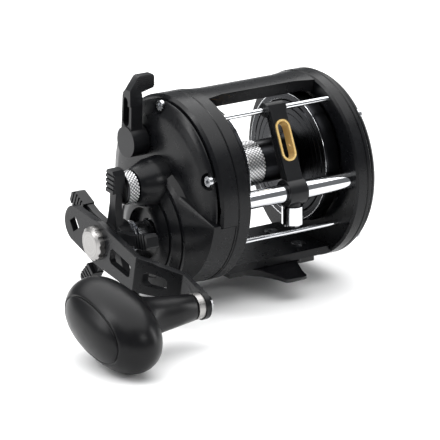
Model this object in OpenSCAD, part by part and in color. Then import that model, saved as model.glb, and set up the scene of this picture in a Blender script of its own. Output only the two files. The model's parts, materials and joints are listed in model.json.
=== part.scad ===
// Conventional level-wind trolling reel, right-hand pattern with the crank on the -X side.
// X runs along the spool axis, line leaves towards -Y, +Z is up.
// The origin is the centre of the foot's seating face.

/* [Frame] */
// Radius of the two frame rings
ring_r = 35; // [34.5:0.1:35.5]
// Height of the spool axis above the foot's seating face
axis_z = 37; // [36.5:0.1:37.5]
// How far the ring centres lie below the spool axis
ring_drop = 3.75; // [3.5:0.05:4]
// Clear distance between the two rings
gap = 47; // [46.5:0.1:47.5]
// Width of the ring on the handle side
near_w = 12.4; // [12.2:0.1:12.8]
// Width of the ring on the tail side
far_w = 7; // [6.8:0.1:7.4]

/* [Spool] */
// Radius of the spool flanges
flange_r = 24.6; // [24:0.1:24.7]
// Distance between the flange faces
spool_w = 33.7; // [33:0.1:34]
// Radius of the arbor
arbor_r = 8; // [7.5:0.1:8.3]
// Radius of the spool shaft
shaft_r = 1.5; // [1.4:0.05:1.6]

/* [Gears] */
// Module of every gear
gear_m = 0.6; // [0.6]
// Teeth on the main gear
main_teeth = 52; // [52]
// Teeth on the pinion
pinion_teeth = 11; // [11]
// Teeth on the spool gear and on the worm gear of the level wind
wind_teeth = 14; // [14]
// Teeth on the idler gear between them
idler_teeth = 36; // [36]

/* [Crank] */
// Distance from the drive axis to the knob spindle
arm_len = 51.8; // [50:0.2:53]
// How far the arm points below the level line at rest
arm_drop = 12.4; // [11:0.2:14]
// Length of the knob
knob_len = 47; // [44:0.5:48]
// Radius of the star wheel over its tips
star_r = 27; // [26:0.1:27.4]

/* [Hidden] */

$fn = 64;
EPS = 0.01;                 // overlap that joins solids or opens a cut
RUN = 0.05;                 // radial clearance of a running fit
TAP = 0.02;                 // radial clearance of a screw in its hole

// --- Frame planes along X ---
x_in = gap / 2;             // inner face of either ring
x_near = -x_in - near_w;    // outer face of the handle-side ring
x_far = x_in + far_w;       // outer face of the tail-side ring
web_t = 3;                  // thickness of the web that closes round a flange
ring_z = axis_z - ring_drop;
bore_r = flange_r + 0.6;    // bore of the web, concentric with the spool
cavity_r = 28.8;            // gear room inside a ring
near_lip = 0.8;             // how far the handle-side ring reaches into the gap
bar_r = [29.6, 34.2];       // inner and outer radius of the top bar
bar_ang = [74, 99];         // where it starts and ends, from +Y towards +Z
bar_end = 9;                // length over which each end of the top bar widens
wrap_ang = [190, 268];      // part of the handle-side ring that the cover wraps
wrap_w = 6.4;               // how far the cover reaches over that ring
plate_y = [-18, 16];        // front and back edge of the bottom plate
plate_z = [3, 5.8];         // underside and top of the bottom plate
screw_pcd_r = 31.6;         // radius of the side plate screws about the ring centre
near_screw_ang = [28, 88, 160, 318];
far_screw_ang = [45, 135, 225, 315];

// --- Rods, as Y and Z of their axes ---
guide_yz = [-16.4, axis_z + 24.7];
guide_r = 1;
worm_yz = [-29.1, axis_z - 3.2];
tube_r = 3.3;
tube_in = 2.65;
low_yz = [-24, axis_z - 20.3];
low_r = 0.9;
rod_seat = 2.4;             // how far each rod enters a ring

// --- Handle side plate ---
cover_x = x_near - 3.6;     // flat outer face of the cover
cover_r = 33.2;
mouth_x = cover_x - 6.3;    // outer rim of the gear housing
mouth_r = 9.5;
nose_x = cover_x - 11.5;    // end of the boss on the spool axis
boss_r = [6.2, 9, 9.6];     // boss radius at its end, on its flank and at the cover
nose_r = 4.6;               // threaded nose inside the cast control cap
nose_end = nose_x - 3.4;
lever_yz = [11.1, axis_z + 13.1];

// --- Tail side plate ---
tail_r = 34;
tail_x = x_far + 1.8;       // end of the straight rim

// --- Drive ---
gear_gap = gear_m * (main_teeth + pinion_teeth) / 2;
drive_y = 1.3;
drive_z = axis_z - sqrt(gear_gap * gear_gap - drive_y * drive_y);
drive_dir = atan2(drive_z - axis_z, drive_y);   // from the spool axis to the drive axis
main_x = [-41.2, -37.2];
pinion_x = [-43.4, -37.3];
neck_x = [-37.3, -35.3];      // groove that the yoke rides in
collar_x = [-45.6, -43.4];    // slotted end that takes the shaft's cross blade
blade_x = [-45.5, -44.4];
yoke_x = [-37.05, -35.55];
yoke_travel = 2.1;            // towards the spool when the clutch is opened
bridge_x = [-31.6, -30.4];
wind_x = [-29.6, -27];      // plane of the level-wind gears
ratchet_x = [-36.7, -35.7];
sleeve_r = 2.6;
post_r = 1.6;
arm_x = [-65.8, -63.3];     // handle arm at the drive axis
arm_end_x = [-55.4, -53.2]; // handle arm at the knob
nut_x = -68.6;
star_x = [-61, -56.2];

// --- Level-wind gear train, the idler below the line of centres ---
wind_r = gear_m * wind_teeth / 2;
idler_r = gear_m * idler_teeth / 2;
wind_c = wind_r + idler_r;
worm_off = [worm_yz[0], worm_yz[1] - axis_z];
wind_base = norm(worm_off);
wind_dir = atan2(worm_off[1], worm_off[0]);
idler_turn = acos(wind_base / 2 / wind_c);
idler_dir = wind_dir + idler_turn;              // from the spool axis to the idler
idler_yz = [wind_c * cos(idler_dir), axis_z + wind_c * sin(idler_dir)];
idler_worm_dir = wind_dir - idler_turn;         // from the idler to the worm
idler_phase = idler_dir + 180 + 180 / idler_teeth;
idler_lead = idler_worm_dir - idler_phase;      // turn from an idler tooth to the worm line
worm_phase = idler_worm_dir + 180 + 180 / wind_teeth + idler_lead * idler_teeth / wind_teeth;

// --- Line guide ---
guide_x = -1.2;             // where the line guide stands at rest
lean = atan2(guide_yz[0] - worm_yz[0], guide_yz[1] - worm_yz[1]);
lean_len = norm([guide_yz[0] - worm_yz[0], guide_yz[1] - worm_yz[1]]);
slab_y = [-3.4, 0.2];       // front and back of the leaning slab
slab_w = 6.8;
insert_z = 18.4;            // centre of the insert along the slab
insert_h = 15.4;
insert_w = 6.1;
slot_h = 13.9;
slot_w = 4.6;
pawl_cap_z = [axis_z - 15.7, axis_z - 8.4];

// Puts children on an axis parallel to X: local x is Y, local y is Z, local z is X
module along_x(x = 0, yz = [0, 0]) translate([x, yz[0], yz[1]]) rotate([90, 0, 90]) children();

// Cylinder along X from x0 to x1
module bar_x(x0, x1, r, yz, fn = 64) along_x(x0, yz) cylinder(r = r, h = x1 - x0, $fn = fn);

// Solid of revolution about an axis parallel to X, from [radius, x] points
module turned_x(points, yz) along_x(0, yz) rotate_extrude() polygon(points);

// Flat sector of an annulus between two radii and two angles
module sector(r, a) {
    far = r[1] * 2;
    mid = (a[0] + a[1]) / 2;
    intersection() {
        difference() {
            circle(r[1], $fn = 128);
            circle(r[0], $fn = 128);
        }
        polygon([[0, 0], far * [cos(a[0]), sin(a[0])], far * [cos(mid), sin(mid)],
                 far * [cos(a[1]), sin(a[1])]]);
    }
}

// Flat link: one outline round two circles and their outer tangents
module link(p, rp, q, rq) {
    d = q - p;
    f = atan2(d[1], d[0]);
    b = acos((rp - rq) / norm(d));
    steps = 24;
    polygon(concat(
        [for (i = [0 : steps]) let (a = f - b + 2 * b * i / steps) q + rq * [cos(a), sin(a)]],
        [for (i = [0 : steps]) let (a = f + b + (360 - 2 * b) * i / steps) p + rp * [cos(a), sin(a)]]));
}

// Involute gear outline with a tooth centred on angle 0
PRESSURE = 25;
TOOTH_SHARE = 0.44;         // tooth thickness over pitch, which leaves the backlash
ADDENDUM = 0.9;
DEDENDUM = 1.2;
function inv(a) = tan(a) * 180 / PI - a;
function half_tooth(r, rb, rp) = TOOTH_SHARE * 90 * gear_m / rp + inv(PRESSURE)
    - inv(r > rb ? acos(rb / r) : 0);
module gear_outline(teeth) {
    rp = gear_m * teeth / 2;
    rb = rp * cos(PRESSURE);
    tip = rp + ADDENDUM * gear_m;
    root = rp - DEDENDUM * gear_m;
    radii = [root, max(rb, root), rp, tip];
    polygon([for (i = [0 : teeth - 1], s = [-1, 1], k = s < 0 ? [0, 1, 2, 3] : [3, 2, 1, 0])
        let (a = i * 360 / teeth + s * half_tooth(radii[k], rb, rp))
        radii[k] * [cos(a), sin(a)]]);
}

// Spur gear along X with a tooth pointing along angle phase
module gear_x(x, teeth, phase, yz, bore) {
    along_x(x[0], yz) difference() {
        rotate(phase) linear_extrude(x[1] - x[0]) gear_outline(teeth);
        translate([0, 0, -EPS]) cylinder(r = bore, h = x[1] - x[0] + 2 * EPS, $fn = 48);
    }
}

// Ring of points about the ring centre
function on_ring(a) = [screw_pcd_r * cos(a), ring_z + screw_pcd_r * sin(a)];

// Cap screw along X: head from x to x + head, shank beyond it; dir is +1 or -1
module cap_screw_x(x, dir, yz, head_r, head, shank_r, shank) {
    x_neck = x + dir * head;
    x_end = x_neck + dir * shank;
    difference() {
        union() {
            bar_x(min(x, x_neck), max(x, x_neck), head_r, yz, 32);
            bar_x(min(x_neck, x_end), max(x_neck, x_end), shank_r, yz, 32);
        }
        bar_x(min(x - dir, x + dir * head / 2), max(x - dir, x + dir * head / 2),
              head_r / 2, yz, 6);
    }
}

// --- Frame and covers ---

// One turned ring: chamfered outer edges and a fine groove
module ring_body(x0, x1, edge, groove_x) {
    g = 0.35;
    turned_x([[0, x0], [ring_r - edge, x0], [ring_r, x0 + edge], [ring_r, groove_x - g],
              [ring_r - g, groove_x], [ring_r, groove_x + g], [ring_r, x1 - edge],
              [ring_r - edge, x1], [0, x1]], [0, ring_z]);
}

module foot_screw_places() for (x = [-15.4, 15.4], y = [-9.5, 8]) translate([x, y, 0]) children();

// Widening end of the top bar; s is -1 on the handle side and +1 on the tail side
module bar_ramp(s) {
    thin = 0.4;
    hull() {
        along_x(s * x_in - (s > 0 ? thin : 0), [0, ring_z]) linear_extrude(thin)
            sector([bar_r[0] + 0.2, ring_r - 0.3], [bar_ang[0] - 6, bar_ang[1] + 4]);
        along_x(s * (x_in - bar_end) - thin / 2, [0, ring_z]) linear_extrude(thin)
            sector([bar_r[0] + 0.6, bar_r[1] - 0.1], [bar_ang[0] + 1, bar_ang[1] - 1]);
    }
}

module frame() color("#26272a") difference() {
    union() {
        ring_body(x_near, -x_in + near_lip, 1, -x_in - 5);
        ring_body(x_in, x_far, 0.8, x_far - 2.2);
        along_x(-x_in - EPS, [0, ring_z]) linear_extrude(gap + 2 * EPS) sector(bar_r, bar_ang);
        for (s = [-1, 1]) bar_ramp(s);
        translate([-x_in - EPS, plate_y[0], plate_z[0]])
            cube([gap + 2 * EPS, plate_y[1] - plate_y[0], plate_z[1] - plate_z[0]]);
    }
    // Webs round the flanges and the gear rooms outside them
    bar_x(x_near - 1, x_far + 1, bore_r, [0, axis_z], 128);
    bar_x(x_near - 1, -x_in - web_t, cavity_r, [0, ring_z], 128);
    bar_x(x_in + web_t, x_far + 1, cavity_r, [0, ring_z], 128);
    bar_x(x_near - 1, -x_in - web_t, 5.1, worm_yz);
    // Blind holes for the two rods, holes for the worm tube
    for (s = [-1, 1]) {
        ends = [s * (x_in - 1), s * (x_in + rod_seat + EPS)];
        bar_x(min(ends), max(ends), guide_r + TAP, guide_yz, 32);
        bar_x(min(ends), max(ends), low_r + TAP, low_yz, 32);
    }
    bar_x(-x_in - web_t - 1, -x_in + 1, tube_r + TAP, worm_yz);
    bar_x(x_in - 1, x_in + web_t - 0.6, tube_r + TAP, worm_yz);
    // Seat for the part of the cover that wraps the ring
    along_x(x_near - 1, [0, ring_z]) linear_extrude(1 + wrap_w + 0.2)
        sector([wrap_r - 0.2, ring_r + 2], [wrap_ang[0] - 0.4, wrap_ang[1] + 0.4]);
    for (a = near_screw_ang) bar_x(x_near - 1, x_near + 7, 1.25 + TAP, on_ring(a), 32);
    for (a = far_screw_ang) bar_x(x_far - 5, x_far + 1, 1.25 + TAP, on_ring(a), 32);
    foot_screw_places() {
        translate([0, 0, plate_z[0] - 1]) cylinder(r = 1.5 + TAP, h = 6, $fn = 32);
        translate([0, 0, plate_z[1] - 1.3]) cylinder(r = 2.8, h = 3, $fn = 32);
    }
}

// Lower front skirt that carries the housing out over the ring's edge
wrap_r = 33.5;
module skirt() {
    hull() {
        along_x(x_near - 2.6, [0, ring_z]) linear_extrude(2.6) intersection() {
            circle(ring_r + 1, $fn = 48);
            rotate(wrap_ang[0] - 1.5) square([ring_r + 2, ring_r + 2]);
        }
        bar_x(cover_x - 3, cover_x - 2.2, 22.8, [drive_y, drive_z], 48);
    }
    along_x(x_near - 1, [0, ring_z]) linear_extrude(1 + wrap_w) sector([wrap_r, ring_r + 1], wrap_ang);
}

// Outline of the yoke grown by a margin
module yoke_outline(grow) {
    link([-yoke_post_y, 0], 2.6 + grow, [0, 0], 4.6 + grow);
    link([0, 0], 4.4 + grow, [yoke_post_y, 0], 2.5 + grow);
}

module handle_side_plate() color("#2b2c30") difference() {
    union() {
        turned_x([[0, cover_x], [27.5, cover_x], [32.4, cover_x + 1.7], [cover_r, cover_x + 2.4],
                  [cover_r, x_near - 0.7], [31.8, x_near - 0.7], [31.8, x_near], [0, x_near]],
                 [0, ring_z]);
        intersection() {
            union() {
                skirt();
                // Stepped gear housing about the drive axis
                turned_x([[0, mouth_x], [11.4, mouth_x], [15.2, mouth_x + 1.3], [15.2, mouth_x + 1.8],
                          [16.4, mouth_x + 1.8], [16.8, mouth_x + 1.5], [20.9, mouth_x + 2.9],
                          [20.9, mouth_x + 3.4], [22.2, mouth_x + 3.4], [22.6, mouth_x + 3.1],
                          [24.4, mouth_x + 4], [25.6, cover_x + 0.5], [0, cover_x + 0.5]],
                         [drive_y, drive_z]);
            }
            bar_x(mouth_x - 1, x_near + wrap_w, ring_r - 0.2, [0, ring_z], 128);
        }
        // Boss and threaded nose on the spool axis
        turned_x([[0, nose_end], [nose_r, nose_end], [nose_r, nose_x], [boss_r[0], nose_x],
                  [boss_r[0] + 0.5, nose_x + 0.5], [boss_r[1], cover_x - 5], [boss_r[2], cover_x],
                  [0, cover_x + EPS]], [0, axis_z]);
        for (p = bridge_pillars) bar_x(x_near - 2, bridge_x[0], 2.1, p, 32);
    }
    // Recessed mouth, room for the main gear and the drag stack
    bar_x(mouth_x - 1, mouth_x + 2.6, mouth_r, [drive_y, drive_z]);
    bar_x(mouth_x - 1, mouth_x + 4, 5.2, [drive_y, drive_z]);
    for (c = [[main_x[0] - 0.5, 17.4], [stack_x - 0.5, 10.4]])
        bar_x(c[0], x_near + EPS, c[1], [drive_y, drive_z]);
    // Room for the pinion, its yoke and the bearing
    bar_x(-46.6, x_near + EPS, 6, [0, axis_z]);
    bar_x(-49.8, -46, 4.5, [0, axis_z]);
    bar_x(nose_x - 6, -49, 2.2, [0, axis_z]);
    along_x(yoke_x[0] - 0.3, [0, axis_z]) linear_extrude(5) yoke_outline(0.4);
    // Room for the cam's swing
    along_x(cam_x[0] - 0.3, lever_yz) linear_extrude(5) sector([0, cam_arm + 2.4], [-135, -42]);
    bar_x(cam_x[0] - 0.3, x_near + EPS, 7, lever_yz, 48);
    bar_x(cover_x - 1, -37, 2 + RUN, lever_yz, 32);
    for (a = near_screw_ang) {
        bar_x(cover_x - 4, near_head_x + near_head_h, 3.2, on_ring(a), 32);
        bar_x(cover_x, x_near + 1, 1.25 + TAP, on_ring(a), 32);
    }
    for (p = bridge_pillars) bar_x(bridge_x[0] - 3, bridge_x[0] + 1, 1 + TAP, p, 32);
}

module tail_side_plate() color("#26272a") difference() {
    union() {
        turned_x([[0, tail_x + 2.4], [22.4, tail_x + 2.4], [23, tail_x + 1.9], [30.6, tail_x + 1.3],
                  [33.2, tail_x + 0.4], [tail_r, tail_x - 0.6], [tail_r, x_far + 0.5],
                  [tail_r - 0.5, x_far], [0, x_far]], [0, ring_z]);
        turned_x([[0, tail_x + 3.6], [9, tail_x + 3.6], [9.8, tail_x + 2.9], [9.8, tail_x],
                  [0, tail_x]], [0, axis_z]);
        bar_x(27.6, x_far + 1, 6.2, [0, axis_z]);
    }
    difference() {
        bar_x(x_far - EPS, tail_x - 0.6, 26, [0, axis_z]);
        bar_x(x_far - 1, tail_x + 1, 6.2, [0, axis_z]);
    }
    bar_x(27, 31, 4.5, [0, axis_z]);
    bar_x(27, 33.2, 2.2, [0, axis_z], 32);
    for (a = far_screw_ang) {
        bar_x(x_far - 1, tail_x + 3, 1.25 + TAP, on_ring(a), 32);
        bar_x(tail_x - 0.7, tail_x + 4, 2.6, on_ring(a), 32);
    }
    click_slide() translate([x_far, click_rest - click_travel - 1.3, -1.25])
        cube([8, click_travel + 2.6, 2.5]);
}

// Base plate and two tapering tongues that lie in the rod's seat
foot_half = 31;
foot_quarter = [[19, 15], [12.4, 15], [8.2, 19.5], [5.6, 26], [4.9, 29.6], [4.3, 30.6], [3.2, foot_half]];
module reel_foot() color("#17181a") difference() {
    n = len(foot_quarter);
    intersection() {
        linear_extrude(plate_z[0]) polygon([
            for (s = [[1, 1], [-1, 1], [-1, -1], [1, -1]], i = [0 : n - 1])
            let (p = foot_quarter[s[0] * s[1] > 0 ? i : n - 1 - i]) [s[0] * p[0], s[1] * p[1]]]);
        rotate([90, 0, 90]) translate([0, 0, -25]) linear_extrude(50)
            polygon([[-foot_half, 0], [foot_half, 0], [foot_half, 1.3], [16, 3], [-16, 3],
                     [-foot_half, 1.3]]);
    }
    foot_screw_places() translate([0, 0, -1]) cylinder(r = 1.2 + TAP, h = 6, $fn = 32);
}

module foot_screws() color("silver") foot_screw_places() difference() {
    union() {
        translate([0, 0, plate_z[1] - 1.3]) cylinder(r = 2.6, h = 1.7, $fn = 32);
        translate([0, 0, plate_z[0]]) cylinder(r = 1.5, h = plate_z[1] - plate_z[0], $fn = 32);
        translate([0, 0, 0.4]) cylinder(r = 1.2, h = 3, $fn = 32);
    }
    translate([0, 0, plate_z[1] - 0.6]) cylinder(r = 1.2, h = 2, $fn = 6);
}

near_head_x = x_near - 2.6;
near_head_h = 1.3;
module handle_plate_screws() color("silver") for (a = near_screw_ang)
    cap_screw_x(near_head_x, 1, on_ring(a), 1.9, near_head_h, 1.25, 7);

module tail_plate_screws() color("silver") for (a = far_screw_ang)
    cap_screw_x(tail_x + 0.7, -1, on_ring(a), 2.3, 1.4, 1.25, 5.5);

module guide_rod() color("silver")
    bar_x(-x_in - rod_seat, x_in + rod_seat, guide_r, guide_yz, 32);

module bottom_rod() color("silver")
    bar_x(-x_in - rod_seat, x_in + rod_seat, low_r, low_yz, 32);

// Slotted tube round the worm; the pawl reaches in through the slot
module worm_tube() color("#c9ccd2") difference() {
    bar_x(-x_in - web_t, x_in + web_t - 0.8, tube_r, worm_yz);
    bar_x(-x_in - web_t - 1, x_in + web_t, tube_in, worm_yz);
    translate([-17.5, worm_yz[0] - 1.5, worm_yz[1] - tube_r - 1]) cube([35, 3, 2.6]);
}

// --- Bridge and what it carries ---
bridge_pillars = [[-13.5, axis_z + 9], [21.5, axis_z + 7.5], [20.6, axis_z - 15]];
dog_yz = [drive_y + 13, drive_z - 5];
yoke_post_y = 9;

module bridge_plate() color("#9fa3a8") along_x(bridge_x[0]) difference() {
    linear_extrude(bridge_x[1] - bridge_x[0]) union() {
        link([drive_y, drive_z], 9, [0, axis_z], 8.5);
        link([0, axis_z], 8.2, bridge_pillars[0], 3.4);
        link([0, axis_z], 7.9, bridge_pillars[1], 3.4);
        link([drive_y, drive_z], 8.7, bridge_pillars[2], 3.4);
        link([drive_y, drive_z], 8.4, dog_yz, 3);
        link([0, axis_z], 7.6, idler_yz, 4);
        link([0, axis_z], 7.3, [yoke_post_y, axis_z], 2.6);
        link([0, axis_z], 7, [-yoke_post_y, axis_z], 2.6);
    }
    translate([0, axis_z, -1]) cylinder(r = 4.4, h = 4);
    for (p = bridge_pillars) translate([p[0], p[1], -1]) cylinder(r = 1 + TAP, h = 4, $fn = 32);
    for (p = [[drive_y, drive_z], dog_yz, idler_yz, [yoke_post_y, axis_z], [-yoke_post_y, axis_z]])
        translate([p[0], p[1], -1]) cylinder(r = 1.2, h = 4, $fn = 32);
}

module bridge_screws() color("silver") for (p = bridge_pillars)
    cap_screw_x(bridge_x[1] + 0.9, -1, p, 1.9, 0.9, 1, 4);

// Riveted stud: body from x0 to x1 with a spigot set in the bridge
module stud(x0, x1, r, yz) {
    bar_x(bridge_x[0] - EPS, bridge_x[1] + EPS, 1.2, yz, 32);
    bar_x(x0, x1, r, yz, 48);
}

module gear_post() color("silver") stud(-56, bridge_x[0], post_r, [drive_y, drive_z]);

module idler_stud() color("silver") {
    stud(bridge_x[1], wind_x[1] + 0.4, 1.5, idler_yz);
    bar_x(wind_x[1] + 0.2, wind_x[1] + 0.9, 2.3, idler_yz, 32);
}

module dog_stud() color("silver") stud(-36.9, bridge_x[0], 1.3, dog_yz);

module yoke_posts() color("silver") for (s = [-1, 1])
    stud(yoke_x[0] - 0.15, bridge_x[0], 1, [s * yoke_post_y, axis_z]);

// Two coil springs between bridge and yoke, drawn at their shortest with touching turns
module yoke_springs() color("#b8bcc2") for (s = [-1, 1]) {
    turns = 3;
    wire = 0.28;
    along_x(bridge_x[0] - wire, [s * yoke_post_y, axis_z]) {
        for (i = [0 : turns - 1]) rotate_extrude($fn = 48)
            translate([1.45, -i * wire * 1.8]) circle(wire, $fn = 16);
    }
}

// --- Bearings and bushes ---

// Shielded ball bearing: two races and a recessed shield
module bearing(x0, x1) difference() {
    bar_x(x0, x1, 4.5, [0, axis_z]);
    bar_x(x0 - 1, x1 + 1, shaft_r + RUN, [0, axis_z], 48);
    for (x = [x0 - 1, x1 - 0.2]) difference() {
        bar_x(x, x + 1.2, 3.7, [0, axis_z], 48);
        bar_x(x - 1, x + 2.2, 2.4, [0, axis_z], 48);
    }
}
module left_bearing() color("silver") bearing(-49.8, -46.8);
module right_bearing() color("silver") bearing(28, 31);

module worm_bushings() color("#b58a4a") for (x = [[-x_in - web_t, -x_in - 0.4], [x_in + 0.4, x_in + web_t - 0.8]])
    difference() {
        bar_x(x[0], x[1], tube_in, worm_yz, 48);
        bar_x(x[0] - 1, x[1] + 1, 1.2 + RUN, worm_yz, 32);
    }

// Friction discs that the shaft ends run against
module tension_shims() color("#b58a4a") {
    bar_x(nose_end - 0.3, nose_end + 0.8, 1.9, [0, axis_z], 32);
    bar_x(32.6, 33.2, 2.1, [0, axis_z], 32);
}

// --- Clutch ---
pad_y = [7.2, 10.6];
lever_x = [-46.2, -41.4];       // outer and inner face of the arm
module clutch_lever() color("#232427") difference() {
    union() {
        // Plain hub disc, standing a little proud of the arm
        bar_x(lever_x[0] - 0.4, cover_x - 0.4, 5.7, lever_yz);
        along_x(lever_x[0], [0, 0]) linear_extrude(lever_x[1] - lever_x[0])
            link(lever_yz + [0.2, 3], 3.3, lever_yz + [-0.6, 16.6], 3);
        // Flag-shaped thumb pad, reaching over the ring
        translate([cover_x, pad_y[1], lever_yz[1]]) rotate([90, 0, 0]) linear_extrude(pad_y[1] - pad_y[0])
            polygon([[-7.4, 13.9], [-7.4, 19.9], [-3.9, 24.5], [-3.1, 24.9], [2.3, 24.9], [3.1, 24.1],
                     [3.1, 20.5], [2.5, 19.9], [-2.6, 18.7], [-2.6, 13.9]]);
        bar_x(cover_x - 2, cam_x[0], 2, lever_yz, 32);
        bar_x(cam_x[0] - EPS, cam_x[1], 2, lever_yz, 6);
    }
    // Long recess on the outer side of the arm
    along_x(lever_x[0] - 1, [0, 0]) linear_extrude(3.5)
        link(lever_yz + [0.2, 7.9], 2, lever_yz + [-0.4, 15.2], 1.9);
    // Fine grooves across the front of the pad
    for (i = [0 : 5]) translate([cover_x - 4.2, pad_y[0] - 0.6, lever_yz[1] + 20.2 + i * 0.72])
        cube([8, 0.9, 0.36]);
}

// Cam behind the cover: its raised end runs onto the yoke as the lever turns
cam_x = [-37.9, -37.3];
cam_arm = 10.6;
cam_ang = -62;
module clutch_cam() color("silver") difference() {
    tip = cam_arm * [cos(cam_ang), sin(cam_ang)];
    union() {
        along_x(cam_x[0], lever_yz) linear_extrude(cam_x[1] - cam_x[0]) link([0, 0], 3.4, tip, 1.5);
        along_x(cam_x[0], lever_yz + tip) cylinder(r = 1.2, h = 1.6, $fn = 32);
    }
    bar_x(cam_x[0] - 1, cam_x[1] + 1, 2, lever_yz, 6);
}

module clutch_yoke() color("#b58a4a") along_x(yoke_x[0], [0, axis_z]) difference() {
    linear_extrude(yoke_x[1] - yoke_x[0]) difference() {
        yoke_outline(0);
        circle(2.6);
        translate([-2.6, 0]) square([5.2, 10]);
    }
    for (s = [-1, 1]) translate([s * yoke_post_y, 0, -1]) cylinder(r = 1 + RUN, h = 4, $fn = 32);
}

pinion_phase = drive_dir + 180 / pinion_teeth;
flange_x = [neck_x[1], neck_x[1] + 0.9];
module pinion_gear() color("#c9a24d") difference() {
    union() {
        gear_x(pinion_x, pinion_teeth, pinion_phase, [0, axis_z], shaft_r + RUN);
        bar_x(neck_x[0] - EPS, neck_x[1] + EPS, 2.5, [0, axis_z]);
        bar_x(collar_x[0], collar_x[1] + EPS, 4.1, [0, axis_z]);
        bar_x(flange_x[0], flange_x[1], 4.1, [0, axis_z]);
    }
    bar_x(collar_x[0] - 1, flange_x[1] + 1, shaft_r + RUN, [0, axis_z], 48);
    along_x(collar_x[0] - 1, [0, axis_z]) translate([-6, -0.8]) cube([12, 1.6, blade_x[1] + 0.1 - collar_x[0] + 1]);
}

// Fluted cap outline: ridges round a circle
module fluted(r, depth, count) polygon([for (i = [0 : 4 * count - 1])
    (r - (i % 4 < 2 ? 0 : depth)) * [cos(i * 90 / count), sin(i * 90 / count)]]);

cap_x = [nose_x - 4.9, nose_x - 0.3];
module cast_control_cap() color("#d4d6da") difference() {
    union() {
        along_x(cap_x[0] + 0.7, [0, axis_z]) linear_extrude(cap_x[1] - cap_x[0] - 0.7) fluted(6.15, 0.3, 40);
        turned_x([[0, cap_x[0]], [5, cap_x[0]], [5.8, cap_x[0] + 0.8], [0, cap_x[0] + 0.8]], [0, axis_z]);
    }
    bar_x(nose_end - 0.4, cap_x[1] + 1, nose_r + RUN, [0, axis_z]);
}

// --- Spool ---
hub_x = [-27, 25.2];
face_x = [17.5 - spool_w, 17.5];    // inner faces of the two flanges
rim = 5.4;                          // width of each flange's rim
module spool() color("#1c1d20") difference() {
    turned_x([[0, hub_x[0]], [5, hub_x[0]], [5, face_x[0] - 4], [10, face_x[0] - 2.8],
              [flange_r - 2.4, face_x[0] - 2.8], [flange_r - 2.4, face_x[0] - rim],
              [flange_r, face_x[0] - rim], [flange_r, face_x[0] - 0.5], [flange_r - 0.5, face_x[0]],
              [arbor_r + 4, face_x[0] + 0.6], [arbor_r + 1.2, face_x[0] + 1.4], [arbor_r, face_x[0] + 2.6],
              [arbor_r, face_x[1] - 2.6], [arbor_r + 1.2, face_x[1] - 1.4], [arbor_r + 4, face_x[1] - 0.6],
              [flange_r - 0.5, face_x[1]], [flange_r, face_x[1] + 0.5], [flange_r, face_x[1] + rim],
              [flange_r - 2.4, face_x[1] + rim], [flange_r - 2.4, face_x[1] + 2.8],
              [10, face_x[1] + 2.8], [5, face_x[1] + 4], [5, hub_x[1]], [0, hub_x[1]]], [0, axis_z]);
    bar_x(hub_x[0] - 1, hub_x[1] + 1, shaft_r, [0, axis_z], 48);
    // Turned grooves on the inner faces of the flanges
    for (r = [14 : 2.4 : flange_r - 1.5], x = face_x) along_x(x, [0, axis_z])
        rotate_extrude() translate([r, 0]) rotate(45) square(0.7, center = true);
}

// Knurled band on the handle side of the arbor
module arbor_sleeve() color("#c8cace") difference() {
    along_x(face_x[0] + 2.8, [0, axis_z]) linear_extrude(15.2) fluted(arbor_r + 0.5, 0.3, 36);
    bar_x(-spool_w, spool_w, arbor_r + TAP, [0, axis_z], 64);
}

module spool_shaft() color("silver") {
    bar_x(nose_end + 0.9, 32.5, shaft_r, [0, axis_z], 48);
    along_x(blade_x[0], [0, axis_z]) translate([-3.6, -0.7]) cube([7.2, 1.4, blade_x[1] - blade_x[0]]);
}

module spool_gear() color("#2a2b2e") gear_x(wind_x, wind_teeth, idler_dir, [0, axis_z], shaft_r);

module click_gear() color("#d8d4c4") difference() {
    count = 20;
    along_x(hub_x[1], [0, axis_z]) linear_extrude(1.4) polygon([for (i = [0 : 2 * count - 1])
        (i % 2 == 0 ? 7.9 : 6.6) * [cos(i * 180 / count), sin(i * 180 / count)]]);
    bar_x(hub_x[1] - 1, hub_x[1] + 3, shaft_r, [0, axis_z], 48);
}

// --- Level wind ---
module idler_gear() color("#2a2b2e") gear_x(wind_x, idler_teeth, idler_phase, idler_yz, 1.5 + RUN);

// Shaft with crossing grooves, made as tilted rings cut into it
module worm_shaft() color("#c9ccd2") difference() {
    union() {
        bar_x(-29.8, x_in + web_t - 1, 1.2, worm_yz, 48);
        bar_x(-x_in + 0.2, x_in - 0.2, 2.3, worm_yz, 48);
    }
    for (i = [-4 : 4], s = [-1, 1]) translate([i * 4.4, worm_yz[0], worm_yz[1]]) rotate([0, 0, s * 24])
        rotate([90, 0, 90]) rotate_extrude($fn = 48) translate([2.55, 0]) circle(0.5, $fn = 16);
}

module worm_gear() color("#2a2b2e") gear_x(wind_x, wind_teeth, worm_phase, worm_yz, 1.2);

// Places children on the leaning slab: origin on the worm axis, z up the slab
module on_slab() translate([guide_x, worm_yz[0], worm_yz[1]]) rotate([-lean, 0, 0]) children();

// Upright stadium hole or post through the slab, from y0 to y1
module stadium(w, h, y0, y1) translate([0, y1, insert_z]) rotate([90, 0, 0]) linear_extrude(y1 - y0)
    link([0, -(h - w) / 2], w / 2, [0, (h - w) / 2], w / 2);

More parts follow.
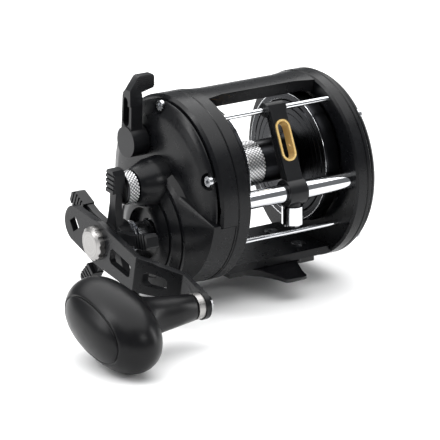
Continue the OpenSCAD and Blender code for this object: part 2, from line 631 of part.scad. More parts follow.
module line_guide() color("#2e3034") difference() {
    union() {
        // Neck that the pawl cap screws on
        translate([guide_x, worm_yz[0], pawl_cap_z[1] - 1.2]) cylinder(r = 3.2, h = 4, $fn = 48);
        on_slab() difference() {
            union() {
                translate([-slab_w / 2, slab_y[0], 0]) cube([slab_w, slab_y[1] - slab_y[0], lean_len]);
                translate([-slab_w / 2 - 0.5, 0, 0]) rotate([0, 90, 0]) cylinder(r = 4.9, h = slab_w + 1);
                translate([-slab_w / 2 - 0.5, 0, lean_len]) rotate([0, 90, 0]) cylinder(r = 2.7, h = slab_w + 1);
                translate([-slab_w / 2 - 0.5, slab_y[0], lean_len - 1]) cube([slab_w + 1, -slab_y[0], 2.2]);
            }
            stadium(insert_w - 0.7, insert_h - 0.7, -9, 9);
        }
    }
    // Sliding bores for the tube and the guide rod
    bar_x(-20, 20, tube_r + RUN, worm_yz);
    bar_x(-20, 20, guide_r + RUN, guide_yz, 32);
    translate([guide_x, worm_yz[0], worm_yz[1] - 12]) cylinder(r = 2.1, h = 10, $fn = 32);
}

module guide_insert() color("#c9a24d") on_slab() difference() {
    union() {
        stadium(insert_w - 0.7, insert_h - 0.7, slab_y[0] - 0.4, slab_y[1]);
        stadium(insert_w, insert_h, slab_y[0] - 0.5, slab_y[0]);
    }
    stadium(slot_w, slot_h, -9, 9);
}

// Pawl: a round stem with a blade that rides in the worm's groove
module pawl() color("silver") translate([guide_x, worm_yz[0], 0]) {
    translate([0, 0, pawl_cap_z[0] + 1.4]) cylinder(r = 2, h = worm_yz[1] - 3.5 - pawl_cap_z[0] - 1.4, $fn = 32);
    translate([0, 0, worm_yz[1] - 3.6]) cylinder(r = 1.1, h = 1.1, $fn = 32);
}

module pawl_cap() color("silver") translate([guide_x, worm_yz[0], pawl_cap_z[0]]) difference() {
    rotate_extrude() polygon([[0, 0], [3.2, 0], [3.9, 0.7], [3.9, pawl_cap_z[1] - pawl_cap_z[0]],
                              [0, pawl_cap_z[1] - pawl_cap_z[0]]]);
    translate([0, 0, 1.3]) cylinder(r = 2.1, h = 9, $fn = 32);
    translate([0, 0, pawl_cap_z[1] - pawl_cap_z[0] - 1.3]) cylinder(r = 3.3, h = 2, $fn = 48);
}

// --- Clicker, sliding towards the spool axis in the tail side plate ---
click_ang = 40;
click_rest = 15.5;
click_travel = 3;
module click_slide() translate([0, 0, axis_z]) rotate([click_ang, 0, 0]) children();

module click_button() color("#1c1d20") click_slide() difference() {
    union() {
        translate([tail_x + 3.1, click_rest, 0]) rotate([0, 90, 0]) cylinder(r = 3, h = 1.6, $fn = 48);
        translate([x_far + 0.4, click_rest - 1, -1.1]) cube([tail_x + 3.2 - x_far - 0.4, 2, 2.2]);
    }
    for (i = [-1 : 1]) translate([tail_x + 4.3, click_rest + i * 1.6 - 0.3, -4]) cube([1, 0.6, 8]);
}

module click_tongue() color("silver") click_slide() union() {
    translate([hub_x[1] + 0.2, click_rest - 1, -1.1]) cube([x_far + 0.4 - hub_x[1] - 0.2, 2, 2.2]);
    translate([hub_x[1] + 0.2, 0, 0]) rotate([90, 0, 90]) linear_extrude(1)
        polygon([[click_rest, -1.1], [click_rest, 1.1], [11.6, 0.5], [11.3, 0], [11.6, -0.5]]);
}

// --- Anti-reverse ---
ratchet_teeth = 9;
ratchet_r = 8.6;
module anti_reverse_ratchet() color("silver") along_x(ratchet_x[0], [drive_y, drive_z]) difference() {
    linear_extrude(ratchet_x[1] - ratchet_x[0]) polygon([for (i = [0 : ratchet_teeth - 1], k = [0, 1])
        let (a = (i + (k == 0 ? 0 : 0.12)) * 360 / ratchet_teeth)
        (k == 0 ? ratchet_r - 1.6 : ratchet_r) * [cos(a), sin(a)]]);
    translate([0, 0, -1]) cylinder(r = sleeve_r, h = 4, $fn = 48);
}

dog_tip = [drive_y + 4.8, drive_z - 9];
module anti_reverse_dog() color("silver") along_x(ratchet_x[0] + 0.1) difference() {
    linear_extrude(0.8) link(dog_yz, 2.6, dog_tip, 0.7);
    translate([dog_yz[0], dog_yz[1], -1]) cylinder(r = 1.3 + RUN, h = 4, $fn = 32);
}

module dog_spring() color("#b8bcc2") along_x(-34.9, dog_yz) difference() {
    cylinder(r = 2.3, h = 1.4, $fn = 32);
    translate([0, 0, -1]) cylinder(r = 1.4, h = 4, $fn = 32);
}

// --- Crank, drive sleeve and drag ---
module gear_sleeve() color("#b9bcc1") difference() {
    union() {
        bar_x(-62.6, -34.6, sleeve_r, [drive_y, drive_z]);
        bar_x(nut_x + 1.6, -62, 2.1, [drive_y, drive_z], 48);
        bar_x(ratchet_x[1], -34.6, 5, [drive_y, drive_z]);
    }
    bar_x(-57, -34, post_r + RUN, [drive_y, drive_z], 48);
}

stack_x = main_x[0] - 0.4;      // outer end of the drag stack
module main_gear() color("#c9a24d") difference() {
    gear_x(main_x, main_teeth, drive_dir + 180, [drive_y, drive_z], sleeve_r);
    bar_x(main_x[0] - 1, main_x[1] - 1.2, 10, [drive_y, drive_z]);
    for (i = [0 : 5]) along_x(main_x[0] - 1, [drive_y, drive_z]) rotate(i * 60) translate([12.6, 0])
        cylinder(r = 1.4, h = 6, $fn = 32);
}

// Washer i of six in the drag stack
module drag_washer(i) {
    t = (main_x[1] - 1.2 - stack_x) / 6;
    difference() {
        bar_x(stack_x + i * t, stack_x + (i + 1) * t, 9.6, [drive_y, drive_z]);
        bar_x(stack_x - 1, main_x[1], sleeve_r, [drive_y, drive_z], 48);
    }
}
module drag_washers_steel() color("silver") for (i = [0, 2, 4]) drag_washer(i);
module drag_washers_fibre() color("#303234") for (i = [1, 3, 5]) drag_washer(i);

module spacer_sleeve() color("silver") difference() {
    bar_x(-50.4, stack_x, 4.4, [drive_y, drive_z]);
    bar_x(-51, stack_x + 1, sleeve_r, [drive_y, drive_z], 48);
}

// Cupped spring washers between the spacer and the star wheel
module spring_washers() color("#c9ccd2") for (i = [0 : 3]) {
    x = -53.6 + i * 0.8;
    flip = i % 2 == 0 ? 0.55 : 0;
    turned_x([[sleeve_r, x + flip], [5.6, x + 0.55 - flip], [5.6, x + 0.8 - flip],
              [sleeve_r, x + 0.25 + flip]], [drive_y, drive_z]);
}

arm_dir = 180 + arm_drop;       // from the drive axis to the knob spindle
spindle_yz = [drive_y, drive_z] + arm_len * [cos(arm_dir), sin(arm_dir)];
tail_len = 15;
// Places children on the crank: origin on the drive axis, local y along the arm, X as in the row
module on_arm() translate([0, drive_y, drive_z]) rotate([arm_dir, 0, 0]) children();

// Long window with clipped corners, tapering a little towards the knob
module arm_window(r0, r1, half) {
    clip = 1.1;
    polygon([[r0, clip - half], [r0 + clip, -half], [r1 - clip, 0.3 - half], [r1, clip + 0.2 - half],
             [r1, half - clip - 0.5], [r1 - clip, half - 0.6], [r0 + clip, half - 0.4],
             [r0, half - clip - 0.4]]);
}

module arm_outline() difference() {
    union() {
        link([-tail_len, 0], 6.8, [0, 0], 8);
        link([0, 0], 8.3, [arm_len - 22, -0.6], 6.6);
        link([arm_len - 22, -0.6], 6.3, [arm_len, 0], 5.2);
    }
    // Diamond hole in the tail and two long windows
    translate([-tail_len, 0]) rotate(45) square(4.4, center = true);
    arm_window(9.6, 22.8, 3.1);
    arm_window(arm_len - 23.6, arm_len - 16, 2.8);
}

module handle_arm() color("#25262a") difference() {
    intersection() {
        on_arm() rotate([90, 0, 90]) translate([0, 0, -80]) linear_extrude(60) arm_outline();
        // Side view of the cranked strip
        on_arm() translate([0, 0, -20]) linear_extrude(40) polygon([
            [arm_x[0], -30], [arm_x[1], -30], [arm_x[1], 25], [arm_end_x[1], arm_len - 12],
            [arm_end_x[1], arm_len + 9], [arm_end_x[0], arm_len + 9], [arm_end_x[0], arm_len - 11.4],
            [arm_x[0], 25.6]]);
    }
    bar_x(-70, -60, 2.1, [drive_y, drive_z], 48);
    bar_x(-56, -48, 1.6, spindle_yz, 48);
}

module handle_nut() color("#cfd1d5") difference() {
    union() {
        turned_x([[0, nut_x], [4.6, nut_x], [6.2, nut_x + 0.9], [6.2, arm_x[0]], [0, arm_x[0]]],
                 [drive_y, drive_z]);
    }
    for (i = [0 : 11]) along_x(nut_x - 1, [drive_y, drive_z]) rotate(i * 30) translate([7, 0])
        cylinder(r = 1.2, h = 6, $fn = 24);
    bar_x(nut_x + 1.5, arm_x[0] + 1, 2.1, [drive_y, drive_z], 48);
}

// Spindle riveted into the arm
module knob_spindle() color("silver") {
    bar_x(-97, arm_end_x[1] + 0.4, 1.6, spindle_yz, 48);
    turned_x([[0, arm_end_x[1]], [4, arm_end_x[1]], [4, arm_end_x[1] + 0.7], [2.9, arm_end_x[1] + 2],
              [0, arm_end_x[1] + 2]], spindle_yz);
}

knob_x = -90.4;                 // centre of the knob along the spindle
neck_end = arm_end_x[0] - 3;
knob_half = [12.4, knob_len / 2, 13.4];
module knob_washer() color("silver") difference() {
    bar_x(arm_end_x[0] - 2.6, arm_end_x[0], 4.7, spindle_yz);
    bar_x(-60, -50, 1.6, spindle_yz, 48);
}

// Rounded grip, long along the arm; k shrinks it evenly
module knob_grip(k) {
    spread = knob_half[1] * 0.24;
    hull() for (s = [-1, 1]) translate([knob_x, spindle_yz[0], spindle_yz[1]]) rotate([arm_dir, 0, 0])
        translate([0, s * spread * k, 0])
        scale([knob_half[0] * k, (knob_half[1] - spread) * k, knob_half[2] * k]) sphere(1, $fn = 32);
}

// Oval prism about the spindle from x0 to x1
module knob_oval(x0, x1, k) translate([0, spindle_yz[0], spindle_yz[1]]) rotate([arm_dir, 0, 0])
    rotate([90, 0, 90]) translate([0, 0, x0]) linear_extrude(x1 - x0)
    scale([knob_half[1] * 0.66 * k, 9.3 * k]) circle(1, $fn = 64);

module knob() color("#2c2d30") difference() {
    union() {
        knob_grip(1);
        turned_x([[0, knob_x + 4], [9.6, knob_x + 9], [7.2, knob_x + 14], [6.4, knob_x + 18],
                  [4.7, neck_end], [0, neck_end]], spindle_yz);
    }
    bar_x(-97.4, -50, 1.6 + RUN, spindle_yz, 48);
    knob_oval(-110, knob_x - 8.4, 1);
}

// Domed plate let into the knob's outer end, with a narrow groove round it
module knob_inset() color("#303134") intersection() {
    knob_grip(0.985);
    knob_oval(-110, knob_x - 8.4, 0.95);
}

// --- Star wheel ---
star_ang = 95;
pad_r = [star_r - 8.6, star_r - 1.6, star_r];
module star_wheel() color("#232427") difference() {
    union() {
        turned_x([[0, star_x[0] + 1.4], [5.6, star_x[0] + 1.4], [7, star_x[0] + 2.4], [7, star_x[1] + 2.4],
                  [0, star_x[1] + 2.4]], [drive_y, drive_z]);
        for (i = [0 : 4]) along_x(0, [drive_y, drive_z]) rotate(star_ang + i * 72) {
            translate([0, 0, star_x[0] + 1.6]) linear_extrude(2.9)
                polygon([[4, -3.4], [14, -1.9], [star_r - 5, -2.2], [star_r - 5, 2.2], [14, 1.9], [4, 3.4]]);
            translate([0, 0, star_x[0]]) linear_extrude(star_x[1] - star_x[0])
                polygon([[pad_r[0], -2.4], [pad_r[1], -2.8], [pad_r[2], -1.7], [pad_r[2], 1.7],
                         [pad_r[1], 2.8], [pad_r[0], 2.4]]);
        }
    }
    bar_x(-70, -50, sleeve_r + RUN, [drive_y, drive_z], 48);
    // Grip grooves across the outer face of each pad
    for (i = [0 : 4], k = [0 : 3]) along_x(star_x[0] - 1, [drive_y, drive_z]) rotate(star_ang + i * 72)
        translate([pad_r[0] + 1.4 + k * 1.7, -4, 0]) cube([0.7, 8, 1.5]);
}

frame();
handle_side_plate();
tail_side_plate();
reel_foot();
foot_screws();
handle_plate_screws();
tail_plate_screws();
guide_rod();
worm_tube();
bottom_rod();
bridge_plate();
bridge_screws();
gear_post();
idler_stud();
dog_stud();
yoke_posts();
yoke_springs();
left_bearing();
right_bearing();
worm_bushings();
tension_shims();
clutch_lever();
clutch_cam();
clutch_yoke();
pinion_gear();
cast_control_cap();
spool();
arbor_sleeve();
spool_shaft();
spool_gear();
click_gear();
idler_gear();
worm_shaft();
worm_gear();
line_guide();
guide_insert();
pawl();
pawl_cap();
click_button();
click_tongue();
anti_reverse_dog();
dog_spring();
gear_sleeve();
anti_reverse_ratchet();
main_gear();
drag_washers_steel();
drag_washers_fibre();
spacer_sleeve();
spring_washers();
handle_arm();
handle_nut();
knob_spindle();
knob_washer();
star_wheel();
knob();
knob_inset();
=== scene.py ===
import json
import math

import bpy
from mathutils import Euler, Matrix, Vector


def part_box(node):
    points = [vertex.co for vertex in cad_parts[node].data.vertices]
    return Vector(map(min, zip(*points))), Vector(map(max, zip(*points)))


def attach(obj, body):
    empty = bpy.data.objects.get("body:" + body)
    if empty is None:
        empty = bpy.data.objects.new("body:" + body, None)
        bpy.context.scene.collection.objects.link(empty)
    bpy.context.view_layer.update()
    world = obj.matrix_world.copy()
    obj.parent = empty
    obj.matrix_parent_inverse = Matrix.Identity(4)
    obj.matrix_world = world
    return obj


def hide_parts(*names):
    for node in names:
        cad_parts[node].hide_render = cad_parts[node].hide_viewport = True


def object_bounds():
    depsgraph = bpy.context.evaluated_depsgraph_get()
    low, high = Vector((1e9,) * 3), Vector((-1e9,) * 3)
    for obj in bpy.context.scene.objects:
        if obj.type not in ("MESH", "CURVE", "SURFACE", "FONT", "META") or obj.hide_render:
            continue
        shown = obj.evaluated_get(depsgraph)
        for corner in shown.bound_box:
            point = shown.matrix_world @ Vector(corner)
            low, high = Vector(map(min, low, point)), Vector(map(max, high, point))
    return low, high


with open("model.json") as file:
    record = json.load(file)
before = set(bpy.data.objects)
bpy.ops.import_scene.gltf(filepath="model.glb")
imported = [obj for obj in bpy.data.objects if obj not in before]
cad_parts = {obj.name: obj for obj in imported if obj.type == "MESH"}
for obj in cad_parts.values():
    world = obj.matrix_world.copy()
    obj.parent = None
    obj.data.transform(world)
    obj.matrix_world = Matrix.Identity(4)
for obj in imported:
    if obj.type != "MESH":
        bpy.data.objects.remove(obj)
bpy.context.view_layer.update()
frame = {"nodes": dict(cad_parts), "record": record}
nodes = frame["nodes"]
MM = 0.001

# Y and Z of the axes that the detailed pieces turn about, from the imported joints
joint_at = {j["name"]: j["pos_m"] for j in frame["record"]["behaviour"]["joints"] if "pos_m" in j}
AXIS = tuple(joint_at["spool_turn"][1:])
DRIVE = tuple(joint_at["crank_turn"][1:])
KNOB = tuple(joint_at["knob_turn"][1:])

# ---------------------------------------------------------------- camera
CAMERA_PLACE = (-0.6054, -0.87283, 0.35561)
CAMERA_TURN = (72.2291, 0.0808, -34.19)     # degrees about X, Y and Z
LENS = 247.12                               # mm, on a sensor 36 mm wide

cam_data = bpy.data.cameras.new("camera")
cam_data.lens = LENS
cam_data.sensor_width = 36.0
cam_data.clip_start = 0.05
cam_data.clip_end = 20.0
camera = bpy.data.objects.new("camera", cam_data)
bpy.context.scene.collection.objects.link(camera)
cam_rot = Euler([math.radians(a) for a in CAMERA_TURN]).to_matrix()
camera.matrix_world = Matrix.Translation(CAMERA_PLACE) @ cam_rot.to_4x4()
bpy.context.scene.camera = camera


# ---------------------------------------------------------------- materials
def new_material(name):
    mat = bpy.data.materials.new(name)
    mat.use_nodes = True
    tree = mat.node_tree
    tree.nodes.clear()
    out = tree.nodes.new("ShaderNodeOutputMaterial")
    shader = tree.nodes.new("ShaderNodeBsdfPrincipled")
    tree.links.new(shader.outputs["BSDF"], out.inputs["Surface"])
    return mat, tree, shader


def noise(tree, vector, scale, detail, rough):
    tex = tree.nodes.new("ShaderNodeTexNoise")
    tex.inputs["Scale"].default_value = scale
    tex.inputs["Detail"].default_value = detail
    tex.inputs["Roughness"].default_value = rough
    tree.links.new(vector, tex.inputs["Vector"])
    return tex.outputs["Fac"]


def object_coords(tree):
    return tree.nodes.new("ShaderNodeTexCoord").outputs["Object"]


def mapped(tree, location=(0.0, 0.0, 0.0), scale=(1.0, 1.0, 1.0)):
    """Object coordinates, scaled and then moved."""
    mapping = tree.nodes.new("ShaderNodeMapping")
    mapping.inputs["Location"].default_value = location
    mapping.inputs["Scale"].default_value = scale
    tree.links.new(object_coords(tree), mapping.inputs["Vector"])
    return mapping.outputs["Vector"]


def axis_distance(tree, centre):
    """Distance in metres from an axis parallel to X through centre, (y, z)."""
    length = tree.nodes.new("ShaderNodeVectorMath")
    length.operation = "LENGTH"
    flat = mapped(tree, (0.0, -centre[0], -centre[1]), (0.0, 1.0, 1.0))
    tree.links.new(flat, length.inputs[0])
    return length.outputs["Value"]


def grey(v):
    return (v, v, v)


def ramp(tree, source, target, low, high):
    """Colour ramp from source to target; low and high are (position, colour)."""
    node = tree.nodes.new("ShaderNodeValToRGB")
    for element, (position, colour) in zip(node.color_ramp.elements, (low, high)):
        element.position = position
        element.color = (*colour, 1.0)
    tree.links.new(source, node.inputs["Fac"])
    tree.links.new(node.outputs["Color"], target)


def add_bump(tree, shader, height, strength, distance):
    node = tree.nodes.new("ShaderNodeBump")
    node.inputs["Strength"].default_value = strength
    node.inputs["Distance"].default_value = distance
    tree.links.new(height, node.inputs["Height"])
    tree.links.new(node.outputs["Normal"], shader.inputs["Normal"])


def moulded(name, low, high, rough, rough_var=0.06, bump=0.0, coat=0.0, specular=0.5):
    """Filled or moulded plastic: mottled colour, broken roughness and a fine grain."""
    mat, tree, shader = new_material(name)
    coords = object_coords(tree)
    ramp(tree, noise(tree, coords, 90.0, 4.0, 0.6), shader.inputs["Base Color"],
         (0.35, low), (0.7, high))
    ramp(tree, noise(tree, coords, 420.0, 3.0, 0.6), shader.inputs["Roughness"],
         (0.3, grey(rough - rough_var)), (0.7, grey(rough + rough_var)))
    shader.inputs["Specular IOR Level"].default_value = specular
    if coat:
        shader.inputs["Coat Weight"].default_value = coat
        shader.inputs["Coat Roughness"].default_value = 0.12
    if bump:
        add_bump(tree, shader, noise(tree, coords, 1400.0, 2.0, 0.5), bump, 0.1 * MM)
    return mat


def metal(name, low, high, rough, rough_var=0.05, stretch=(1, 1, 1), metallic=1.0):
    """Bare or plated metal with turning or brushing marks drawn out along one direction."""
    mat, tree, shader = new_material(name)
    shader.inputs["Metallic"].default_value = metallic
    marks = noise(tree, mapped(tree, scale=stretch), 300.0, 4.0, 0.6)
    ramp(tree, marks, shader.inputs["Base Color"], (0.3, low), (0.7, high))
    ramp(tree, marks, shader.inputs["Roughness"],
         (0.3, grey(rough - rough_var)), (0.7, grey(rough + rough_var)))
    return mat


def turned_marks(name, centre, low, high, rough):
    """Metal with concentric tool marks about an axis parallel to X through centre."""
    mat, tree, shader = new_material(name)
    shader.inputs["Metallic"].default_value = 1.0
    radial = tree.nodes.new("ShaderNodeCombineXYZ")
    tree.links.new(axis_distance(tree, centre), radial.inputs["X"])
    marks = noise(tree, radial.outputs["Vector"], 2600.0, 3.0, 0.5)
    ramp(tree, marks, shader.inputs["Base Color"], (0.3, low), (0.7, high))
    ramp(tree, marks, shader.inputs["Roughness"],
         (0.3, grey(rough * 0.75)), (0.7, grey(rough * 1.25)))
    add_bump(tree, shader, marks, 0.25, 0.06 * MM)
    return mat


def knurl_with_painted_root_shade(name, radius, depth):
    """Bright crests and roots painted dark as shade, told apart by the distance from the spool
    axis.
    """
    mat, tree, shader = new_material(name)
    shader.inputs["Metallic"].default_value = 1.0
    shader.inputs["Roughness"].default_value = 0.28
    level = tree.nodes.new("ShaderNodeMapRange")
    level.inputs["From Min"].default_value = radius - depth
    level.inputs["From Max"].default_value = radius
    tree.links.new(axis_distance(tree, AXIS), level.inputs["Value"])
    # Painted shade: the base colour darkens to near black from crest to root, where the grooves
    # would be in shadow.
    ramp(tree, level.outputs["Result"], shader.inputs["Base Color"],
         (0.05, (0.03, 0.03, 0.032)), (0.75, (0.86, 0.86, 0.87)))
    return mat


# Each slot's darker colour, lighter colour and roughness, then what sets it apart
PLASTICS = {
    "graphite_black": dict(low=(0.0028, 0.0030, 0.0037), high=(0.0044, 0.0047, 0.0057),
                           rough=0.29, rough_var=0.03, bump=0.035, specular=0.2),
    "glossy_black": dict(low=(0.004, 0.004, 0.005), high=(0.007, 0.007, 0.008),
                         rough=0.18, rough_var=0.03, coat=0.25, specular=0.2),
    "lever_black": dict(low=(0.005, 0.0053, 0.006), high=(0.009, 0.0093, 0.0105),
                        rough=0.31, rough_var=0.03, bump=0.04, specular=0.22),
    "arm_black": dict(low=(0.004, 0.0043, 0.005), high=(0.007, 0.0073, 0.0085),
                      rough=0.29, rough_var=0.03, bump=0.03, specular=0.2),
    "soft_black": dict(low=(0.0026, 0.0026, 0.0031), high=(0.0045, 0.0045, 0.0052),
                       rough=0.33, rough_var=0.03, bump=0.02, specular=0.18),
    "acetal_black": dict(low=(0.02, 0.02, 0.02), high=(0.03, 0.03, 0.03), rough=0.4),
    "acetal_white": dict(low=(0.68, 0.66, 0.60), high=(0.76, 0.74, 0.69), rough=0.4),
    "fibre": dict(low=(0.03, 0.03, 0.03), high=(0.07, 0.07, 0.065), rough=0.8, bump=0.4),
}
METALS = {
    "knurled_aluminium": dict(low=(0.50, 0.51, 0.53), high=(0.74, 0.75, 0.77), rough=0.24,
                              stretch=(0.2, 1, 1)),
    "chrome": dict(low=(0.62, 0.63, 0.65), high=(0.80, 0.81, 0.83), rough=0.09,
                   rough_var=0.03, stretch=(0.1, 1, 1)),
    "steel": dict(low=(0.45, 0.46, 0.48), high=(0.64, 0.65, 0.67), rough=0.24),
    "bronze": dict(low=(0.48, 0.32, 0.13), high=(0.66, 0.46, 0.20), rough=0.28),
    "gold": dict(low=(0.92, 0.60, 0.20), high=(1.0, 0.74, 0.32), rough=0.25,
                 rough_var=0.04, metallic=0.6),
}
TURNED = {
    "spool_black": dict(centre=AXIS, low=(0.012, 0.0125, 0.014), high=(0.03, 0.031, 0.034),
                        rough=0.28),
    "brushed_nut": dict(centre=DRIVE, low=(0.26, 0.255, 0.25), high=(0.44, 0.43, 0.42),
                        rough=0.38),
}
SLOTS = {name: make(name, **look)
         for make, looks in ((moulded, PLASTICS), (metal, METALS), (turned_marks, TURNED))
         for name, look in looks.items()}
slot_of = {s["node"]: s["material_slot"] for s in frame["record"]["subparts"]}

# ---------------------------------------------------------------- CAD nodes
CREASE = 28.0           # degrees between two faces that still shade as one surface
SAME_PLACE = 1e-6       # metres, the grid on which two vertices count as one
WELD = 2e-6             # metres
BEVEL_FROM = 30.0       # degrees, the bluntest edge that is bevelled
BEVELS = {              # width in mm
    "frame": 0.35, "handle_side_plate": 0.25, "tail_side_plate": 0.3, "reel_foot": 0.3,
    "clutch_lever": 0.35, "handle_arm": 0.2, "star_wheel": 0.35, "line_guide": 0.25,
    "pawl_cap": 0.2, "handle_nut": 0.25, "knob_spindle": 0.2,
    "foot_screws": 0.12, "handle_plate_screws": 0.15, "tail_plate_screws": 0.15,
}


def shade(obj):
    """Welds the unjoined CAD faces for display and keeps only real edges as creases."""
    mesh = obj.data
    if "custom_normal" in mesh.attributes:
        mesh.attributes.remove(mesh.attributes["custom_normal"])
    mesh.polygons.foreach_set("use_smooth", [True] * len(mesh.polygons))
    place = [tuple(round(c / SAME_PLACE) for c in v.co) for v in mesh.vertices]

    def edge_place(ends):
        return tuple(sorted(place[v] for v in ends))

    meeting = {}
    for face in mesh.polygons:
        for ends in face.edge_keys:
            meeting.setdefault(edge_place(ends), []).append(face.normal.copy())
    limit = math.cos(math.radians(CREASE))
    for edge in mesh.edges:
        normals = meeting.get(edge_place(edge.vertices), [])
        edge.use_edge_sharp = len(normals) != 2 or normals[0].dot(normals[1]) < limit
    obj.modifiers.new("weld", "WELD").merge_threshold = WELD


def bevel(obj, width):
    mod = obj.modifiers.new("edges", "BEVEL")
    mod.width = width
    mod.segments = 2
    mod.limit_method = "ANGLE"
    mod.angle_limit = math.radians(BEVEL_FROM)
    mod.harden_normals = True
    mod.use_clamp_overlap = True


for name, obj in nodes.items():
    obj.data.materials.clear()
    obj.data.materials.append(SLOTS[slot_of[name]])
    shade(obj)
for name, width in BEVELS.items():
    bevel(nodes[name], width * MM)


# ---------------------------------------------------------------- detailed pieces
def loft(rings, joined):
    """Quads between rings of equal length, with the last joined to the first or both capped."""
    n = len(rings[0])
    verts = [v for ring in rings for v in ring]
    starts = [r * n for r in range(len(rings))]
    pairs = list(zip(starts, starts[1:] + starts[:1]))
    if not joined:
        pairs.pop()
    faces = [(a + i, a + (i + 1) % n, b + (i + 1) % n, b + i)
             for a, b in pairs for i in range(n)]
    if not joined:
        faces.append(tuple(range(n))[::-1])
        faces.append(tuple(starts[-1] + i for i in range(n)))
    return verts, faces


def add_mesh(name, rings, joined, mat, slot, body, *replaced):
    """Adds a loft over rings as a smooth piece that rides on body."""
    mesh = bpy.data.meshes.new(name)
    verts, faces = loft(rings, joined)
    mesh.from_pydata(verts, [], faces)
    mesh.polygons.foreach_set("use_smooth", [True] * len(mesh.polygons))
    mesh.materials.append(mat)
    mesh.update()
    obj = bpy.data.objects.new(name, mesh)
    bpy.context.scene.collection.objects.link(obj)
    if replaced:
        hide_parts(*replaced)
    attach(obj, body)


def turns(count):
    return [2 * math.pi * i / count for i in range(count)]


def circle_ring(x, radius, count):
    """Circle about the spool axis."""
    return [(x, AXIS[0] + radius * math.cos(t), AXIS[1] + radius * math.sin(t))
            for t in turns(count)]


def knurl_rings(start, stop, steps, radius, depth, diamonds):
    """Rings of a crossed diamond knurl about the spool axis, with 4 points to a diamond."""
    pitch = 2 * math.pi * radius / diamonds
    rings = []
    for k in range(steps + 1):
        x = start + (stop - start) * k / steps
        ring = []
        for t in turns(4 * diamonds):
            u = diamonds * t / 2 + math.pi * x / pitch
            v = diamonds * t / 2 - math.pi * x / pitch
            r = radius - depth * (1 - abs(math.sin(u)) * abs(math.sin(v)))
            ring.append((x, AXIS[0] + r * math.cos(t), AXIS[1] + r * math.sin(t)))
        rings.append(ring)
    return rings


# Knurled band on the spool's arbor
SLEEVE_R = 8.49 * MM
SLEEVE_BORE = 8.03 * MM
SLEEVE_KNURL = 0.4 * MM
SLEEVE_DIAMONDS = 36
SLEEVE_CHAMFER = 0.35 * MM


def sleeve_rings():
    x0, x1 = (corner[0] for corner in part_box("arbor_sleeve"))
    quarter_pitch = 2 * math.pi * SLEEVE_R / SLEEVE_DIAMONDS / 4
    around = 4 * SLEEVE_DIAMONDS
    rim = SLEEVE_R - SLEEVE_CHAMFER
    return [circle_ring(x0, SLEEVE_BORE, around), circle_ring(x0, rim, around),
            *knurl_rings(x0 + SLEEVE_CHAMFER, x1 - SLEEVE_CHAMFER, int((x1 - x0) / quarter_pitch),
                         SLEEVE_R, SLEEVE_KNURL, SLEEVE_DIAMONDS),
            circle_ring(x1, rim, around), circle_ring(x1, SLEEVE_BORE, around)]


add_mesh("arbor_knurl", sleeve_rings(), True,
         knurl_with_painted_root_shade("sleeve_knurl", SLEEVE_R, SLEEVE_KNURL),
         "knurled_aluminium", "spool", "arbor_sleeve")

# Cast control cap, a turned cap with a bore from its inner end
CAP_R = 6.14 * MM
CAP_KNURL = 0.46 * MM
CAP_DIAMONDS = 28
CAP_CENTRE = 0.3        # mm, radius at which its two flat faces stop
CAP_BORE = 4.66         # mm, radius
CAP_FACE = [(0.15, CAP_CENTRE), (0.15, 4.2), (0, 4.5), (0, 5.2), (0.5, 5.8)]
CAP_RIM = 5.6           # mm, radius
CAP_WALL = 1.1          # mm, thickness of its closed end


def cap_rings():
    x0, x1 = (corner[0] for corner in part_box("cast_control_cap"))

    def ring(x, radius):
        return circle_ring(x, radius * MM, 4 * CAP_DIAMONDS)

    bore_end = x0 + CAP_WALL * MM
    return [*(ring(x0 + depth * MM, radius) for depth, radius in CAP_FACE),
            *knurl_rings(x0 + 0.6 * MM, x1 - 0.3 * MM, 20, CAP_R, CAP_KNURL, CAP_DIAMONDS),
            ring(x1, CAP_RIM), ring(x1, CAP_BORE),
            ring(bore_end, CAP_BORE), ring(bore_end, CAP_CENTRE)]


add_mesh("cap_knurl", cap_rings(), False, knurl_with_painted_root_shade("cap_knurl", CAP_R, CAP_KNURL),
         "knurled_aluminium", "cast_control", "cast_control_cap")

# Power knob: an oval grip with a grooved end plate, running into a tapered neck.
# Its points are (x, along the arm, across the arm) in mm, from the knob's own axis.
KNOB_X = -90.4          # centre of the grip
GRIP_DEPTH = 12.4       # half depth along X
GRIP_LONG = 17.86       # half length along the arm, before the stretch
GRIP_WIDE = 13.4        # half width across the arm
STRETCH = 5.6           # how far the two halves are drawn apart along the arm
STRETCH_RATE = 2.2      # how soon the stretch sets in from the middle
AROUND = 128
# Degrees from the grip's outer end, and how deep the surface lies there
END_PLATE = [(a, 0.16) for a in (2, 8, 14, 20, 26, 32, 37, 40.4)]
GROOVE = [(41.4, 0.22), (41.8, 0.55), (42.6, 0.62), (43.2, 0.5), (43.7, 0.1), (44.4, 0.0)]
FLANK = [(a, 0.0) for a in range(47, 126, 4)]
HIP = 126               # degrees at which the grip starts to turn into the neck
HIP_TURN = 22           # degrees more at which it would be neck only
HIP_STEPS = 5
NECK = [(8.4, 10.6), (9.6, 9.2), (11.5, 8.0), (14, 7.1), (18, 6.4), (24, 5.7),
        (31.3, 4.85), (31.95, 4.5)]         # distance from KNOB_X, and radius
KNOB_BORE = 1.66        # radius
BORE_END = -6.8         # distance from KNOB_X


def knob_point(x, along, across):
    """Place in the frame, in metres, of a point of the knob."""
    arm = math.atan2(KNOB[1] - DRIVE[1], KNOB[0] - DRIVE[0])
    return (x * MM, KNOB[0] + (along * math.cos(arm) - across * math.sin(arm)) * MM,
            KNOB[1] + (along * math.sin(arm) + across * math.cos(arm)) * MM)


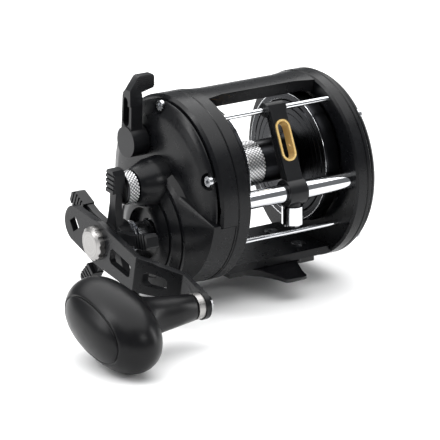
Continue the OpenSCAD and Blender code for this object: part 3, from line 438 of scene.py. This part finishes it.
def grip_section(polar, inset=0.0):
    """Ring of the grip at polar degrees from its outer end."""
    p = math.radians(polar)
    ring = []
    for t in turns(AROUND):
        side = math.sin(p) * math.cos(t)
        drawn = STRETCH * math.tanh(STRETCH_RATE * side) / math.tanh(STRETCH_RATE)
        ring.append((KNOB_X - (GRIP_DEPTH - inset) * math.cos(p),
                     (GRIP_LONG - inset) * side + drawn,
                     (GRIP_WIDE - inset) * math.sin(p) * math.sin(t)))
    return ring


def round_section(offset, radius):
    return [(KNOB_X + offset, radius * math.cos(t), radius * math.sin(t)) for t in turns(AROUND)]


def hip_section(share):
    """Ring between the grip, at share 0, and the first ring of the neck, at share 1."""
    weight = (share * share * (3 - 2 * share)) ** 1.4
    return [tuple(g * (1 - weight) + n * weight for g, n in zip(*pair))
            for pair in zip(grip_section(HIP + HIP_TURN * share), round_section(*NECK[0]))]


knob_rings = [grip_section(polar, inset) for polar, inset in END_PLATE + GROOVE + FLANK]
knob_rings += [hip_section(step / HIP_STEPS) for step in range(1, HIP_STEPS)]
knob_rings += [round_section(offset, radius) for offset, radius in NECK]
knob_rings += [round_section(offset, KNOB_BORE) for offset in (NECK[-1][0], BORE_END)]
add_mesh("knob_shell", [[knob_point(*v) for v in ring] for ring in knob_rings], False,
         SLOTS["soft_black"], "soft_black", "grip", "knob", "knob_inset")

# Fine bright rings left by the turning tool, half sunk in the spool's flanges, in mm
FLANGE_FACE = 17.5      # inner face of the far flange
SPOOL_W = 33.7          # between the flanges' inner faces
FAR_X = FLANGE_FACE - 0.03
NEAR_X = FLANGE_FACE - SPOOL_W - 0.15
FAR_RINGS = [(23.9, 0.13), (21.6, 0.09), (17.2, 0.08), (12.6, 0.09)]    # radius, wire radius
NEAR_RING = (24.35, 0.12)


def wire_ring(name, x, radius, wire):
    rings = [circle_ring((x + wire * math.sin(a)) * MM, (radius + wire * math.cos(a)) * MM, 160)
             for a in turns(8)]
    add_mesh(name, rings, True, SLOTS["chrome"], "knurled_aluminium", "spool")


for k, (radius, wire) in enumerate(FAR_RINGS):
    wire_ring("far_flange_ring_%d" % k, FAR_X, radius, wire)
wire_ring("near_flange_ring", NEAR_X, *NEAR_RING)

# ---------------------------------------------------------------- floor and light
FLOOR_HALF = 4.0
FLOOR_GAP = 0.4 * MM    # how far the floor lies under the lowest piece
floor_mat, floor_tree, floor_shader = new_material("floor")
floor_shader.inputs["Base Color"].default_value = (0.9, 0.9, 0.9, 1.0)
floor_shader.inputs["Roughness"].default_value = 0.9
floor_mesh = bpy.data.meshes.new("floor")
floor_mesh.from_pydata([(x * FLOOR_HALF, y * FLOOR_HALF, 0)
                        for x, y in ((-1, -1), (1, -1), (1, 1), (-1, 1))], [], [(0, 1, 2, 3)])
floor_mesh.materials.append(floor_mat)
floor = bpy.data.objects.new("floor", floor_mesh)
floor.location = (0.0, 0.0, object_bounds()[0][2] - FLOOR_GAP)
bpy.context.scene.collection.objects.link(floor)

world = bpy.data.worlds.new("world")
bpy.context.scene.world = world
world.use_nodes = True
world.node_tree.nodes["Background"].inputs["Color"].default_value = (0.94, 0.97, 1.0, 1.0)
world.node_tree.nodes["Background"].inputs["Strength"].default_value = 0.20

AIM = Vector((-0.02, 0.0, 0.03))


def area(name, size, location, power, size_y=None):
    """Area light aimed at the reel: square, or size by size_y."""
    data = bpy.data.lights.new(name, "AREA")
    data.energy = power
    data.size = size
    if size_y:
        data.shape = "RECTANGLE"
        data.size_y = size_y
    obj = bpy.data.objects.new(name, data)
    obj.location = location
    obj.rotation_euler = (AIM - Vector(location)).to_track_quat("-Z", "Y").to_euler()
    bpy.context.scene.collection.objects.link(obj)


area("top_light", 3.2, (0.05, 0.3, 1.6), 92.0)
area("left_light", 0.16, (-0.8, 0.35, 0.55), 5.0, 0.8)
area("front_light", 0.5, (0.1, -1.2, 0.7), 3.0, 0.25)
area("right_light", 0.12, (0.9, -0.45, 0.3), 3.5, 0.6)

bpy.context.scene.view_settings.view_transform = "Standard"
